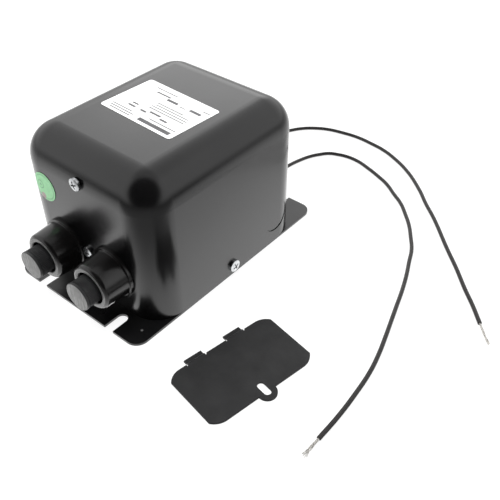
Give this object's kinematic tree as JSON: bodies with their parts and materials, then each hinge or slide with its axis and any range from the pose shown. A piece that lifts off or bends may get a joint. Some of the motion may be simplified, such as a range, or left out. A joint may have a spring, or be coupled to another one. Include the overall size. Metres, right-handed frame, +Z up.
{
  "type": "ignition transformer",
  "caption": "Ignition transformer in a round-cornered black steel can on a slotted base plate, with high-voltage bushings in front, leads at the rear and its wiring cover laid beside it.",
  "frame": {"origin": "centre of the base plate's underside, which is the surface that it stands on", "axes": "+Z up, the bushings face -Y, the wiring compartment opens towards +Y, +X is the side where the loose cover and the leads' ends lie"},
  "size_m": [0.2619, 0.2802, 0.0977],
  "materials": {
    "can_paint": "glossy black enamel, lightly worn",
    "base_paint": "satin black enamel",
    "cover_paint": "satin black enamel",
    "bushing_mould": "black phenolic, polished by the mould",
    "plug_mould": "matt black moulding with a pale grey end face",
    "brass": "turned",
    "zinc": "bright zinc plate",
    "ground_green": "green-dyed zinc plate",
    "board": "laminated phenolic board",
    "grommet_rubber": "matt black rubber",
    "zinc_sheet": "zinc-plated sheet",
    "lamination": "stacked silicon steel sheets",
    "former_board": "pressed board",
    "winding": "enamelled copper wire and paper",
    "compound": "poured black compound",
    "label_foil": "white printed foil",
    "sticker_paper": "pale green paper sticker",
    "lead_insulation": "matt black insulation",
    "tinned_wire": "tinned copper strands"
  },
  "bodies": {
    "root": {"housing": "can_paint", "base_plate": "base_paint", "bushing_board": "board", "hv_bushing_left": "bushing_mould", "hv_bushing_right": "bushing_mould", "terminal_plug_left": "plug_mould", "terminal_plug_right": "plug_mould", "contact_stud_left": "brass", "contact_stud_right": "brass", "stud_nut_left": "brass", "stud_nut_right": "brass", "hv_lead_left": "lead_insulation", "hv_lead_right": "lead_insulation", "earth_screw": "zinc", "earth_nut": "zinc", "midpoint_strap": "tinned_wire", "board_screw": "zinc", "side_screw_left": "zinc", "side_screw_right": "zinc", "wiring_partition": "zinc_sheet", "lead_grommet_1": "grommet_rubber", "lead_grommet_2": "grommet_rubber", "ground_screw": "ground_green", "core_lower": "lamination", "core_upper": "lamination", "magnetic_shunt": "lamination", "primary_former": "former_board", "primary_coil": "winding", "secondary_former_left": "former_board", "secondary_former_right": "former_board", "secondary_coil_left": "winding", "secondary_coil_right": "winding", "primary_tail_1": "winding", "primary_tail_2": "winding", "potting_compound": "compound", "cover_plate": "cover_paint", "rating_label": "label_foil", "inspection_sticker": "sticker_paper", "lead_1": "lead_insulation", "lead_1_strands": "tinned_wire", "lead_2": "lead_insulation", "lead_2_strands": "tinned_wire"}
  },
  "joints": []
}
